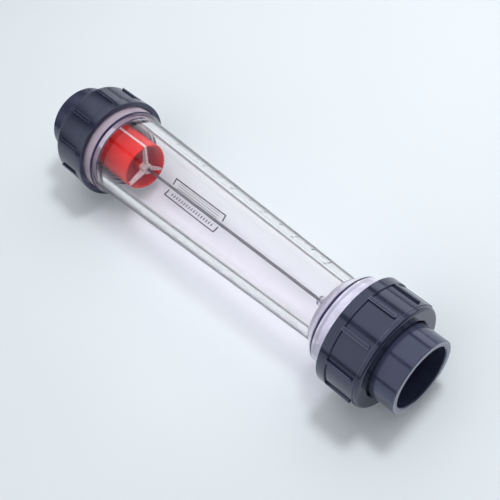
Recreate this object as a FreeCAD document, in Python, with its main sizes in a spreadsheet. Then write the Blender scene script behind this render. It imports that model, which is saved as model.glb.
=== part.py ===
"""Variable-area flow meter (rotameter) with a clear conical tube and union ends.

The meter lies along X: +X points to the narrow inlet end, +Z is up, and the
origin is under the middle of the meter, on the surface that the two union
nuts rest on. Every size is in millimetres and is a cell of the sheet "Sizes".
"""
import FreeCAD, Part
import math
import os

import Sketcher

SIZES = {
    # whole meter, and where the ends sit along it
    "overall_length": 478.0,
    "tail_reach": 26.6,
    # union nuts
    "nut_length": 44.4,
    "nut_wall": 5.7,
    "nut_rim_width": 10.0,
    "nut_lip": 7.0,
    "nut_grip_drop": 1.6,
    "nut_step_width": 4.6,
    "nut_step_drop": 0.6,
    "nut_shoulder_round": 3.2,
    "nut_edge_round": 0.8,
    "nut_hole_chamfer": 1.5,
    "nut_hole_clearance": 0.8,
    "nut_thread_relief": 2.0,
    "nut_seat_clearance": 0.1,
    "nut_rib_count": 10.0,
    "nut_rib_width": 3.4,
    "nut_rib_length": 28.0,
    "nut_rib_sink": 0.6,
    "nut_rib_rise": 0.4,
    "inlet_nut_clocking": -13.3,
    "outlet_nut_clocking": -22.7,
    # external thread of the tube ends, drawn as its outside cylinder
    "thread_wall": 10.5,
    "thread_length": 28.4,
    "thread_clearance": 0.3,
    # solvent-cement tailpieces
    "tail_wall": 6.4,
    "tail_flange": 7.0,
    "tail_flange_inset": 0.4,
    "tail_edge_chamfer": 0.8,
    "socket_radius": 31.6,
    "socket_depth": 38.0,
    "socket_ledge": 4.1,
    "socket_chamfer": 1.0,
    # sealing rings in the faces of the tailpieces
    "ring_inset": 3.6,
    "ring_cord": 3.5,
    "ring_groove_play": 0.1,
    "ring_groove_side": 0.35,
    # clear metering tube
    "bore_inlet_radius": 26.2,
    "bore_outlet_radius": 35.9,
    "tube_inlet_wall": 8.2,
    "tube_outlet_wall": 9.7,
    "inlet_collar_length": 46.4,
    "inlet_collar_drop": 3.9,
    "inlet_cone_length": 12.3,
    "outlet_collar_length": 40.5,
    "outlet_collar_drop": 0.3,
    "outlet_cone_length": 5.0,
    "collar_round": 1.2,
    "inlet_seat_depth": 58.4,
    "inlet_seat_step": 3.8,
    "outlet_seat_depth": 32.4,
    "outlet_seat_step": 2.6,
    # guide rod and what fixes it
    "rod_radius": 1.5,
    "rod_end_reach": 2.1,
    "rod_end_chamfer": 0.4,
    "rod_hole_clearance": 0.1,
    "rod_nut_flats": 5.5,
    "rod_nut_thickness": 2.4,
    "washer_radius": 3.5,
    "washer_thickness": 0.5,
    # three-armed rod supports
    "support_clearance": 0.2,
    "support_ring_wall": 2.2,
    "support_arm_count": 3.0,
    "support_arm_width": 2.6,
    "support_arm_depth": 6.0,
    "support_hub_radius": 5.0,
    "support_hub_round": 1.0,
    "inlet_hub_length": 19.0,
    "outlet_hub_length": 14.0,
    "outlet_hub_inset": 4.4,
    "outlet_ring_length": 4.0,
    "inlet_support_clocking": 0.3,
    "outlet_support_clocking": 30.3,
    # rubber stops on the rod
    "stop_thickness": 5.0,
    "stop_radius": 5.0,
    "stop_round": 1.2,
    "stop_gap": 0.3,
    # float
    "float_side_clearance": 0.35,
    "float_length": 50.0,
    "float_wall": 2.2,
    "float_floor": 3.0,
    "float_cup_depth": 12.0,
    "float_tube_radius": 7.0,
    "float_tube_inset": 4.0,
    "float_rim_round": 0.7,
    "float_cap_thickness": 4.0,
    "float_cap_round": 3.0,
    "float_cap_joint": 0.05,
    "float_fit": 0.1,
    "float_slot_overrun": 1.0,
    "float_hole_clearance": 0.4,
    "bush_radius": 4.0,
    "bush_length": 8.0,
    "bush_running_clearance": 0.08,
    "ballast_length": 12.0,
    "guide_width": 2.4,
    "guide_depth": 1.3,
    "guide_arm_depth": 3.0,
    "guide_hub_radius": 5.5,
    "guide_hub_reach": 4.4,
    "guide_arm_root": 1.0,
    "guide_tail_inset": 6.0,
    "guide_fit": 0.1,
    "float_clocking": -21.2,
}


class Value:
    """A size: its number, and the expression over the sheet that gives it."""

    def __init__(self, number, text):
        self.number = number
        self.text = text

    def _join(self, sign, other, number):
        return Value(number, "(%s %s %s)" % (self.text, sign, other.text))

    def __add__(self, other):
        other = value(other)
        return self._join("+", other, self.number + other.number)

    def __sub__(self, other):
        other = value(other)
        return self._join("-", other, self.number - other.number)

    def __mul__(self, other):
        other = value(other)
        return self._join("*", other, self.number * other.number)

    def __truediv__(self, other):
        other = value(other)
        return self._join("/", other, self.number / other.number)


def value(number):
    """Return number as a Value, so that plain numbers can join an expression."""
    if isinstance(number, Value):
        return number
    return Value(float(number), "%g" % number)


def size(name):
    """Return the named cell of the sheet as a Value."""
    return Value(SIZES[name], "Sizes." + name)


ZERO = value(0)
doc = FreeCAD.newDocument("Rotameter")


def make_sheet():
    """Write every driving size into a sheet cell with an alias."""
    sheet = doc.addObject("Spreadsheet::Sheet", "Sizes")
    for row, (name, number) in enumerate(SIZES.items(), start=1):
        cell = "A%d" % row
        sheet.set(cell, "%g" % number)
        sheet.setAlias(cell, name)
    doc.recompute()


# Stations along the meter, measured outwards from its middle.
NUT_FACE = size("overall_length") / 2 - size("tail_reach")
NUT_RIM = NUT_FACE - size("nut_length")
SEAL_FACE = NUT_FACE - size("nut_lip") - size("nut_seat_clearance") - size("tail_flange")
TAIL_LENGTH = size("overall_length") / 2 - SEAL_FACE
TUBE_LENGTH = SEAL_FACE * 2
INLET_SEAT = SEAL_FACE - size("inlet_seat_depth")
OUTLET_SEAT = SEAL_FACE - size("outlet_seat_depth")
INLET_HUB_BACK = INLET_SEAT + size("support_arm_depth")
INLET_HUB_FRONT = INLET_HUB_BACK - size("inlet_hub_length")
OUTLET_HUB_BACK = SEAL_FACE - size("outlet_hub_inset")
OUTLET_HUB_FRONT = OUTLET_HUB_BACK - size("outlet_hub_length")
ROD_FIXING = size("washer_thickness") + size("rod_nut_thickness") + size("rod_end_reach")
FLOAT_BACK = OUTLET_HUB_FRONT - size("stop_thickness") - size("stop_gap")

# Radii of the tube, from its bore outwards.
INLET_SEAT_RADIUS = size("bore_inlet_radius") + size("inlet_seat_step")
OUTLET_SEAT_RADIUS = size("bore_outlet_radius") + size("outlet_seat_step")
THREAD_RADIUS = OUTLET_SEAT_RADIUS + size("thread_wall")

# Radii that follow from a neighbour's.
TAIL_RADIUS = size("socket_radius") + size("tail_wall")
NUT_BORE = THREAD_RADIUS + size("thread_clearance")
NUT_HOLE = TAIL_RADIUS + size("nut_hole_clearance")
NUT_RADIUS = NUT_BORE + size("nut_wall")
GRIP_RADIUS = NUT_RADIUS - size("nut_grip_drop")
FLANGE_RADIUS = THREAD_RADIUS - size("tail_flange_inset")
RING_RADIUS = FLANGE_RADIUS - size("ring_inset")
ROD_HOLE = size("rod_radius") + size("rod_hole_clearance")
BUSH_BORE = size("rod_radius") + size("bush_running_clearance")
FLOAT_RADIUS = size("bore_inlet_radius") - size("float_side_clearance")
FLOAT_INSIDE = FLOAT_RADIUS - size("float_wall")
FLOAT_FLOOR_FRONT = size("float_length") - size("float_cup_depth")
FLOAT_FLOOR_BACK = FLOAT_FLOOR_FRONT - size("float_floor")
FLOAT_TUBE_FRONT = size("float_length") - size("float_tube_inset")
BALLAST_BACK = FLOAT_FLOOR_BACK - size("ballast_length") - size("float_fit")


def make_body(label):
    """Return an empty PartDesign body with this label."""
    body = doc.addObject("PartDesign::Body", label)
    body.Label = label
    return body


def origin_feature(body, role):
    """Return the body's own origin plane or axis with this role."""
    return next(item for item in body.Origin.OriginFeatures if item.Role == role)


def attach_sketch(body, name, plane):
    """Return a new sketch on one of the body's origin planes."""
    sketch = body.newObject("Sketcher::SketchObject", name)
    sketch.AttachmentSupport = (origin_feature(body, plane), [""])
    sketch.MapMode = "FlatFace"
    return sketch


def bind_distance(sketch, kind, geometry, point, distance):
    """Tie one coordinate of a sketch point to a size, or to the axis at zero."""
    if distance is ZERO:
        axis = -2 if kind == "DistanceX" else -1
        sketch.addConstraint(Sketcher.Constraint("PointOnObject", geometry, point, axis))
        return
    index = sketch.addConstraint(
        Sketcher.Constraint(kind, -1, 1, geometry, point, distance.number)
    )
    sketch.setExpression("Constraints[%d]" % index, distance.text)


def add_outline(sketch, corners):
    """Add a closed outline of straight lines through corners of (across, up)."""
    points = [FreeCAD.Vector(across.number, up.number, 0) for across, up in corners]
    first = sketch.GeometryCount
    count = len(points)
    for index, point in enumerate(points):
        sketch.addGeometry(Part.LineSegment(point, points[(index + 1) % count]), False)
    for index in range(count):
        following = first + (index + 1) % count
        joint = Sketcher.Constraint("Coincident", first + index, 2, following, 1)
        sketch.addConstraint(joint)
    for index, (across, up) in enumerate(corners):
        bind_distance(sketch, "DistanceX", first + index, 1, across)
        bind_distance(sketch, "DistanceY", first + index, 1, up)


def revolve(body, name, corners, groove=False):
    """Turn an outline of (along the axis, radius) corners about the X axis."""
    sketch = attach_sketch(body, name + "Sketch", "XZ_Plane")
    add_outline(sketch, corners)
    kind = "PartDesign::Groove" if groove else "PartDesign::Revolution"
    turned = body.newObject(kind, name)
    turned.Profile = sketch
    turned.ReferenceAxis = (sketch, ["H_Axis"])
    turned.Angle = 360
    doc.recompute()
    return turned


def extrude_across(body, name, corners, width, cut=False):
    """Pad or pocket an outline on the XZ plane, half the width to each side."""
    sketch = attach_sketch(body, name + "Sketch", "XZ_Plane")
    add_outline(sketch, corners)
    feature = body.newObject("PartDesign::Pocket" if cut else "PartDesign::Pad", name)
    feature.Profile = sketch
    feature.Midplane = True
    feature.setExpression("Length", width.text)
    doc.recompute()
    return feature


def repeat_round(body, name, feature, count):
    """Repeat a feature evenly about the X axis."""
    pattern = body.newObject("PartDesign::PolarPattern", name)
    pattern.Originals = [feature]
    pattern.Axis = (origin_feature(body, "X_Axis"), [""])
    pattern.Angle = 360
    pattern.setExpression("Occurrences", count.text)
    body.Tip = pattern
    doc.recompute()
    return pattern


def round_edges(shape, along, radius):
    """Return the names of the whole circles about X at this place and radius."""
    names = []
    for index, edge in enumerate(shape.Edges, start=1):
        curve = edge.Curve
        if not isinstance(curve, Part.Circle) or abs(curve.Axis.x) < 0.999:
            continue
        same_place = abs(curve.Center.x - along.number) < 1e-4
        if same_place and abs(curve.Radius - radius.number) < 1e-4:
            names.append("Edge%d" % index)
    return names


def fillet(body, name, places, radius):
    """Round the circular edges at each (along, radius) place."""
    base = body.Tip
    names = []
    for along, edge_radius in places:
        names += round_edges(base.Shape, along, edge_radius)
    feature = body.newObject("PartDesign::Fillet", name)
    feature.Base = (base, names)
    feature.setExpression("Radius", radius.text)
    doc.recompute()
    return feature


def place(item, along, outlet=False, clocking=0.0):
    """Put a piece on the meter's axis, turned end for end at the outlet."""
    turn = FreeCAD.Rotation(FreeCAD.Vector(1, 0, 0), clocking)
    if outlet:
        turn = turn * FreeCAD.Rotation(FreeCAD.Vector(0, 0, 1), 180)
        along = ZERO - along
    item.Placement = FreeCAD.Placement(FreeCAD.Vector(), turn)
    item.setExpression("Placement.Base.x", along.text)
    item.setExpression("Placement.Base.z", NUT_RADIUS.text)


def make_tube():
    """Clear metering tube: conical bore, a collar and a thread at each end.

    Its own frame starts at the outlet end face.
    """
    body = make_body("metering_tube")
    inlet_collar = TUBE_LENGTH - size("inlet_collar_length")
    inlet_cone = inlet_collar - size("inlet_cone_length")
    inlet_thread = TUBE_LENGTH - size("thread_length")
    inlet_seat = TUBE_LENGTH - size("inlet_seat_depth")
    outlet_cone = size("outlet_collar_length") + size("outlet_cone_length")
    inlet_collar_radius = THREAD_RADIUS - size("inlet_collar_drop")
    outlet_collar_radius = THREAD_RADIUS - size("outlet_collar_drop")
    inlet_radius = size("bore_inlet_radius") + size("tube_inlet_wall")
    outlet_radius = size("bore_outlet_radius") + size("tube_outlet_wall")
    revolve(body, "TubeTurned", [
        (ZERO, OUTLET_SEAT_RADIUS),
        (ZERO, THREAD_RADIUS),
        (size("thread_length"), THREAD_RADIUS),
        (size("thread_length"), outlet_collar_radius),
        (size("outlet_collar_length"), outlet_collar_radius),
        (outlet_cone, outlet_radius),
        (inlet_cone, inlet_radius),
        (inlet_collar, inlet_collar_radius),
        (inlet_thread, inlet_collar_radius),
        (inlet_thread, THREAD_RADIUS),
        (TUBE_LENGTH, THREAD_RADIUS),
        (TUBE_LENGTH, INLET_SEAT_RADIUS),
        (inlet_seat, INLET_SEAT_RADIUS),
        (inlet_seat, size("bore_inlet_radius")),
        (size("outlet_seat_depth"), size("bore_outlet_radius")),
        (size("outlet_seat_depth"), OUTLET_SEAT_RADIUS),
    ])
    fillet(body, "CollarRounds", [
        (size("outlet_collar_length"), outlet_collar_radius),
        (inlet_cone, inlet_radius),
        (inlet_collar, inlet_collar_radius),
    ], size("collar_round"))
    place(body, ZERO - SEAL_FACE)
    return body


def make_union_nut(label, outlet, clocking):
    """Ribbed union nut. Its own frame starts at its rim, on the tube's side."""
    body = make_body(label)
    length = size("nut_length")
    step = length - size("nut_step_width")
    step_radius = GRIP_RADIUS - size("nut_step_drop")
    lip = length - size("nut_lip")
    relief = NUT_BORE + size("nut_thread_relief") / 2
    revolve(body, "NutTurned", [
        (ZERO, relief),
        (ZERO, NUT_RADIUS),
        (size("nut_rim_width"), NUT_RADIUS),
        (size("nut_rim_width"), GRIP_RADIUS),
        (step, GRIP_RADIUS),
        (step, step_radius),
        (length, step_radius),
        (length, NUT_HOLE + size("nut_hole_chamfer")),
        (length - size("nut_hole_chamfer"), NUT_HOLE),
        (lip, NUT_HOLE),
        (lip, NUT_BORE),
        (size("nut_thread_relief"), NUT_BORE),
    ])
    fillet(body, "NutShoulder", [(length, step_radius)], size("nut_shoulder_round"))
    fillet(body, "NutRimEdges", [
        (ZERO, NUT_RADIUS),
        (size("nut_rim_width"), NUT_RADIUS),
    ], size("nut_edge_round"))
    rib = make_nut_rib(body)
    repeat_round(body, "NutRibs", rib, size("nut_rib_count"))
    place(body, NUT_RIM, outlet, clocking)
    return body


def make_nut_rib(body):
    """One raised rib, round at its outer end, running from the rim along the grip."""
    half = size("nut_rib_width") / 2
    foot = GRIP_RADIUS - size("nut_rib_sink")
    start = size("nut_rim_width") - size("nut_edge_round")
    centre = start + size("nut_rib_length") - half
    sketch = attach_sketch(body, "NutRibSketch", "XY_Plane")
    sketch.setExpression("AttachmentOffset.Base.z", foot.text)
    near = FreeCAD.Vector(start.number, half.number, 0)
    far = FreeCAD.Vector(centre.number, half.number, 0)
    far_low = FreeCAD.Vector(far.x, -far.y, 0)
    near_low = FreeCAD.Vector(near.x, -near.y, 0)
    middle = FreeCAD.Vector(centre.number, 0, 0)
    circle = Part.Circle(middle, FreeCAD.Vector(0, 0, 1), half.number)
    sketch.addGeometry(Part.LineSegment(near, far), False)
    sketch.addGeometry(Part.ArcOfCircle(circle, -math.pi / 2, math.pi / 2), False)
    sketch.addGeometry(Part.LineSegment(far_low, near_low), False)
    sketch.addGeometry(Part.LineSegment(near_low, near), False)
    for constraint in (
        ("Coincident", 0, 2, 1, 2),
        ("Coincident", 1, 1, 2, 1),
        ("Coincident", 2, 2, 3, 1),
        ("Coincident", 3, 2, 0, 1),
        ("Horizontal", 0),
        ("Horizontal", 2),
        ("Symmetric", 0, 1, 3, 1, -1),
        ("Vertical", 1, 3, 1, 2),
        ("Vertical", 1, 3, 1, 1),
    ):
        sketch.addConstraint(Sketcher.Constraint(*constraint))
    bind_distance(sketch, "DistanceX", 0, 1, start)
    bind_distance(sketch, "DistanceY", 0, 1, half)
    bind_distance(sketch, "DistanceX", 1, 3, centre)
    pad = body.newObject("PartDesign::Pad", "NutRib")
    pad.Profile = sketch
    pad.setExpression("Length", (NUT_RADIUS + size("nut_rib_rise") - foot).text)
    doc.recompute()
    return pad


def make_tailpiece(label, outlet):
    """Flanged tailpiece with a solvent-cement socket. It starts at its seal face."""
    body = make_body(label)
    flange = size("tail_flange")
    ledge = TAIL_LENGTH - size("socket_depth")
    mouth = TAIL_LENGTH - size("socket_chamfer")
    rim = TAIL_LENGTH - size("tail_edge_chamfer")
    flow_radius = size("socket_radius") - size("socket_ledge")
    groove_low = RING_RADIUS - size("ring_cord") / 2 - size("ring_groove_side")
    groove_high = RING_RADIUS + size("ring_cord") / 2 + size("ring_groove_side")
    groove_depth = size("ring_cord") + size("ring_groove_play")
    revolve(body, "TailTurned", [
        (ZERO, flow_radius),
        (ZERO, groove_low),
        (groove_depth, groove_low),
        (groove_depth, groove_high),
        (ZERO, groove_high),
        (ZERO, FLANGE_RADIUS),
        (flange, FLANGE_RADIUS),
        (flange, TAIL_RADIUS),
        (rim, TAIL_RADIUS),
        (TAIL_LENGTH, TAIL_RADIUS - size("tail_edge_chamfer")),
        (TAIL_LENGTH, size("socket_radius") + size("socket_chamfer")),
        (mouth, size("socket_radius")),
        (ledge, size("socket_radius")),
        (ledge, flow_radius),
    ])
    place(body, SEAL_FACE, outlet)
    return body


def make_sealing_ring(label, outlet):
    """Rubber ring lying in the groove of a tailpiece."""
    ring = doc.addObject("Part::Torus", label)
    ring.Label = label
    ring.setExpression("Radius1", RING_RADIUS.text)
    ring.setExpression("Radius2", (size("ring_cord") / 2).text)
    centre = SEAL_FACE + (size("ring_cord") + size("ring_groove_play")) / 2
    if outlet:
        centre = ZERO - centre
    across = FreeCAD.Rotation(FreeCAD.Vector(0, 1, 0), 90)
    ring.Placement = FreeCAD.Placement(FreeCAD.Vector(), across)
    ring.setExpression("Placement.Base.x", centre.text)
    ring.setExpression("Placement.Base.z", NUT_RADIUS.text)
    return ring


def make_guide_rod():
    """Steel rod along the axis, from behind one support to behind the other."""
    body = make_body("guide_rod")
    length = OUTLET_HUB_BACK + ROD_FIXING + INLET_HUB_BACK + ROD_FIXING
    chamfer = size("rod_end_chamfer")
    revolve(body, "RodTurned", [
        (ZERO, ZERO),
        (ZERO, size("rod_radius") - chamfer),
        (chamfer, size("rod_radius")),
        (length - chamfer, size("rod_radius")),
        (length, size("rod_radius") - chamfer),
        (length, ZERO),
    ])
    place(body, ZERO - OUTLET_HUB_BACK - ROD_FIXING)
    return body


def make_rod_support(label, outlet):
    """Clear support: a ring on the tube's shoulder, three arms and a hub.

    Its own frame starts at the ring's seat, and at the outlet the arms stand
    back from the ring on legs, so that the float can run in between them.
    """
    body = make_body(label)
    if outlet:
        seat = OUTLET_SEAT
        outer = OUTLET_SEAT_RADIUS - size("support_clearance")
        arm_back = OUTLET_HUB_BACK - seat
        ring_length = size("outlet_ring_length")
        hub_length = size("outlet_hub_length")
        clocking = SIZES["outlet_support_clocking"]
    else:
        seat = INLET_SEAT
        outer = INLET_SEAT_RADIUS - size("support_clearance")
        arm_back = INLET_HUB_BACK - seat
        ring_length = size("support_arm_depth")
        hub_length = size("inlet_hub_length")
        clocking = SIZES["inlet_support_clocking"]
    inner = outer - size("support_ring_wall")
    arm_front = arm_back - size("support_arm_depth")
    middle_of_hub = (size("support_hub_radius") + ROD_HOLE) / 2
    revolve(body, "SupportRing", [
        (ZERO, inner),
        (ZERO, outer),
        (ring_length, outer),
        (ring_length, inner),
    ])
    middle_of_ring = (inner + outer) / 2
    corners = [
        (arm_front, middle_of_hub),
        (arm_back, middle_of_hub),
        (arm_back, middle_of_ring),
        (ZERO, middle_of_ring),
    ]
    if outlet:
        corners += [(ZERO, inner), (arm_front, inner)]
    else:
        corners = corners[:3] + [(arm_front, middle_of_ring)]
    arm = extrude_across(body, "SupportArm", corners, size("support_arm_width"))
    repeat_round(body, "SupportArms", arm, size("support_arm_count"))
    hub_front = arm_back - hub_length
    revolve(body, "SupportHub", [
        (hub_front, ROD_HOLE),
        (hub_front, size("support_hub_radius")),
        (arm_back, size("support_hub_radius")),
        (arm_back, ROD_HOLE),
    ])
    revolve(body, "SupportHole", [
        (hub_front, ZERO),
        (hub_front, ROD_HOLE),
        (arm_back, ROD_HOLE),
        (arm_back, ZERO),
    ], groove=True)
    fillet(body, "HubRound", [
        (hub_front, size("support_hub_radius")),
    ], size("support_hub_round"))
    place(body, seat, outlet, clocking)
    return body


def make_washer(label, outlet):
    """Flat washer between a support's hub and the rod's nut."""
    body = make_body(label)
    revolve(body, "WasherTurned", [
        (ZERO, ROD_HOLE),
        (ZERO, size("washer_radius")),
        (size("washer_thickness"), size("washer_radius")),
        (size("washer_thickness"), ROD_HOLE),
    ])
    place(body, OUTLET_HUB_BACK if outlet else INLET_HUB_BACK, outlet)
    return body


def make_rod_nut(label, outlet):
    """Hexagon nut on the rod's end."""
    prism = doc.addObject("Part::Prism", label + "_hexagon")
    prism.Polygon = 6
    prism.setExpression("Circumradius", "%s / sqrt(3)" % size("rod_nut_flats").text)
    prism.setExpression("Height", size("rod_nut_thickness").text)
    hole = doc.addObject("Part::Cylinder", label + "_hole")
    hole.setExpression("Radius", ROD_HOLE.text)
    hole.setExpression("Height", size("rod_nut_thickness").text)
    nut = doc.addObject("Part::Cut", label)
    nut.Label = label
    nut.Base = prism
    nut.Tool = hole
    back = (OUTLET_HUB_BACK if outlet else INLET_HUB_BACK) + size("washer_thickness")
    if outlet:
        back = ZERO - back - size("rod_nut_thickness")
    across = FreeCAD.Rotation(FreeCAD.Vector(0, 1, 0), 90)
    nut.Placement = FreeCAD.Placement(FreeCAD.Vector(), across)
    nut.setExpression("Placement.Base.x", back.text)
    nut.setExpression("Placement.Base.z", NUT_RADIUS.text)
    return nut


def make_float_stop(label, outlet):
    """Rubber ring on the rod, against the inner end of a support's hub."""
    body = make_body(label)
    thickness = size("stop_thickness")
    revolve(body, "StopTurned", [
        (ZERO, ROD_HOLE),
        (ZERO, size("stop_radius")),
        (thickness, size("stop_radius")),
        (thickness, ROD_HOLE),
    ])
    fillet(body, "StopRound", [(ZERO, size("stop_radius"))], size("stop_round"))
    hub_front = OUTLET_HUB_FRONT if outlet else INLET_HUB_FRONT
    place(body, hub_front - thickness, outlet)
    return body


def place_on_float(item):
    """Put a piece of the float, drawn from the float's back, at its rest place."""
    place(item, ZERO - FLOAT_BACK, clocking=SIZES["float_clocking"])


def guide_corners(play):
    """Outline of one guide arm and leg, grown by play where the shell holds it."""
    front = size("float_length")
    arm_back = front - size("guide_arm_depth")
    leg_back = size("guide_tail_inset")
    bottom = FLOAT_RADIUS - size("guide_depth")
    hub_front = front + size("guide_hub_reach")
    root = size("guide_arm_root")
    root_radius = size("guide_hub_radius") - root
    return [
        (leg_back - play, bottom - play),
        (arm_back - play, bottom - play),
        (arm_back - play, root_radius),
        (hub_front - root, root_radius),
        (front, FLOAT_RADIUS),
        (leg_back - play, FLOAT_RADIUS),
    ]


def make_float_shell():
    """Red shell: open cup at the inlet side, ballast chamber behind its floor."""
    body = make_body("float_shell")
    front = size("float_length")
    tube = size("float_tube_radius")
    bore = size("bush_radius") + size("float_fit")
    cap = size("float_cap_thickness") + size("float_cap_joint")
    revolve(body, "ShellTurned", [
        (cap, FLOAT_INSIDE),
        (cap, FLOAT_RADIUS),
        (front, FLOAT_RADIUS),
        (front, FLOAT_INSIDE),
        (FLOAT_FLOOR_FRONT, FLOAT_INSIDE),
        (FLOAT_FLOOR_FRONT, tube),
        (FLOAT_TUBE_FRONT, tube),
        (FLOAT_TUBE_FRONT, bore),
        (cap, bore),
        (cap, tube),
        (FLOAT_FLOOR_BACK, tube),
        (FLOAT_FLOOR_BACK, FLOAT_INSIDE),
    ])
    fillet(body, "ShellRim", [
        (front, FLOAT_RADIUS),
        (front, FLOAT_INSIDE),
    ], size("float_rim_round"))
    play = size("guide_fit")
    corners = guide_corners(play)
    beyond = size("float_slot_overrun")
    outside = FLOAT_RADIUS + beyond
    top = corners[-1][0]
    corners[3:] = [(front + beyond, corners[2][1]), (front + beyond, outside), (top, outside)]
    slot = extrude_across(body, "GuideSlot", corners, size("guide_width") + play * 2, cut=True)
    repeat_round(body, "GuideSlots", slot, size("support_arm_count"))
    place_on_float(body)
    return body


def make_float_guide():
    """Pale three-legged guide let into the shell, with a hub round the rod."""
    body = make_body("float_guide")
    hub_back = FLOAT_TUBE_FRONT
    hub_front = size("float_length") + size("guide_hub_reach")
    hole = ROD_HOLE + size("float_hole_clearance")
    revolve(body, "GuideHub", [
        (hub_back, hole),
        (hub_back, size("guide_hub_radius")),
        (hub_front, size("guide_hub_radius")),
        (hub_front, hole),
    ])
    arm = extrude_across(body, "GuideArm", guide_corners(ZERO), size("guide_width"))
    repeat_round(body, "GuideArms", arm, size("support_arm_count"))
    place_on_float(body)
    return body


def make_float_cap():
    """End cap of the float, with a sleeve that holds the ballast forward."""
    body = make_body("float_end_cap")
    thickness = size("float_cap_thickness")
    sleeve = FLOAT_INSIDE - size("float_fit")
    sleeve_inside = sleeve - size("float_wall")
    sleeve_front = BALLAST_BACK - size("float_fit")
    hole = ROD_HOLE + size("float_hole_clearance")
    revolve(body, "CapTurned", [
        (ZERO, hole),
        (ZERO, FLOAT_RADIUS),
        (thickness, FLOAT_RADIUS),
        (thickness, sleeve),
        (sleeve_front, sleeve),
        (sleeve_front, sleeve_inside),
        (thickness, sleeve_inside),
        (thickness, hole),
    ])
    fillet(body, "CapRound", [(ZERO, FLOAT_RADIUS)], size("float_cap_round"))
    place_on_float(body)
    return body


def make_ballast():
    """Steel ballast ring between the shell's floor and the cap's sleeve."""
    body = make_body("float_ballast")
    low = size("float_tube_radius") + size("float_fit")
    high = FLOAT_INSIDE - size("float_fit")
    front = FLOAT_FLOOR_BACK - size("float_fit")
    revolve(body, "BallastTurned", [
        (BALLAST_BACK, low),
        (BALLAST_BACK, high),
        (front, high),
        (front, low),
    ])
    place_on_float(body)
    return body


def make_bush(label, start):
    """Bearing bush in the shell's tube, running on the rod."""
    body = make_body(label)
    end = start + size("bush_length")
    revolve(body, "BushTurned", [
        (start, BUSH_BORE),
        (start, size("bush_radius")),
        (end, size("bush_radius")),
        (end, BUSH_BORE),
    ])
    place_on_float(body)
    return body


def make_meter():
    """Build every piece and return them, in order from the tube to the float."""
    make_sheet()
    pieces = [make_tube()]
    for end, outlet in (("inlet", False), ("outlet", True)):
        clocking = SIZES[end + "_nut_clocking"]
        pieces.append(make_union_nut(end + "_union_nut", outlet, clocking))
        pieces.append(make_tailpiece(end + "_tailpiece", outlet))
        pieces.append(make_sealing_ring(end + "_o_ring", outlet))
        pieces.append(make_rod_support(end + "_rod_support", outlet))
        pieces.append(make_washer(end + "_rod_washer", outlet))
        pieces.append(make_rod_nut(end + "_rod_nut", outlet))
        pieces.append(make_float_stop(end + "_float_stop", outlet))
    pieces.append(make_guide_rod())
    pieces.append(make_float_shell())
    pieces.append(make_float_guide())
    pieces.append(make_float_cap())
    pieces.append(make_ballast())
    rear_bush = size("float_cap_thickness") + size("float_cap_joint")
    pieces.append(make_bush("float_bush_rear", rear_bush))
    pieces.append(make_bush("float_bush_front", FLOAT_TUBE_FRONT - size("bush_length")))
    return pieces


def check_document():
    """Stop with the names of any objects that failed to build."""
    failed = [item.Name for item in doc.Objects
              if "Invalid" in item.State or "Error" in item.State]
    if failed:
        raise RuntimeError("these objects failed: " + ", ".join(failed))


def export(pieces):
    """Check each piece's solid and write it to parts/LABEL.step."""
    os.makedirs("parts", exist_ok=True)
    for piece in pieces:
        shape = piece.Shape
        if shape.isNull() or not shape.isValid() or len(shape.Solids) != 1:
            raise RuntimeError(piece.Label + " is not one valid solid")
        shape.exportStep(os.path.join("parts", piece.Label + ".step"))
        print("%-20s %12.1f mm3" % (piece.Label, shape.Volume))


meter = make_meter()
doc.recompute()
check_document()
export(meter)
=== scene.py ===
"""Dresses a clear-bodied variable-area flow meter and lights it in a small studio.

Every position is in metres in the frame of the CAD model: +X runs along the
axis to the inlet end, +Z is up, and the meter lies on its two union nuts.
"""

import logging
import math
from dataclasses import dataclass, field
from enum import Enum
from typing import Any, Iterable, Optional

import bpy
from mathutils import Matrix, Vector


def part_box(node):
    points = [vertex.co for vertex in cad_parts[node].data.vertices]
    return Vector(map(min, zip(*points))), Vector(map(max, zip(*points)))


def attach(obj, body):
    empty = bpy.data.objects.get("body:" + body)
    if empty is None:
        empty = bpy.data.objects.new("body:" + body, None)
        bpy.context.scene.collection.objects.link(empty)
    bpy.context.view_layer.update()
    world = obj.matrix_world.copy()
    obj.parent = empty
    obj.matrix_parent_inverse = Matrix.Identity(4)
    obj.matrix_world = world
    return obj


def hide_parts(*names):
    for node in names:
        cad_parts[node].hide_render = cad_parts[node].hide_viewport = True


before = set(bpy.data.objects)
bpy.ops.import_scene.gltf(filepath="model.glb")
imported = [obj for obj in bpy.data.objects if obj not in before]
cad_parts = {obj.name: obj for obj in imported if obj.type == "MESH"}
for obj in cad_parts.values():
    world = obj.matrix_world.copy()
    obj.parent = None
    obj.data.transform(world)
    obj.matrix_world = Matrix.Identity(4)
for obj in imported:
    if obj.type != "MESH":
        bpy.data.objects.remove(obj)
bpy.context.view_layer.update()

MM = 0.001
# Two radii closer than this, in millimetres, are one.
HAIR = 1e-6
# Noise runs from 0 to 1, but seldom leaves this range.
NOISE_RANGE = (0.3, 0.7)
# Radians that the wave texture turns in a metre at a scale of 1.
WAVE_RADIANS = 20.0
BACKDROP = "#f4f6fb"
report = logging.getLogger("rotameter")

Tree = bpy.types.NodeTree
Socket = bpy.types.NodeSocket


class Body(Enum):
    """Bodies of the CAD model that the new pieces ride on."""

    METER = "meter"


class Slot(Enum):
    """Material slots of the record that the new pieces take their finish from."""

    CLEAR_TUBE = "clear_tube"
    DARK_PVC = "dark_pvc"


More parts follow.
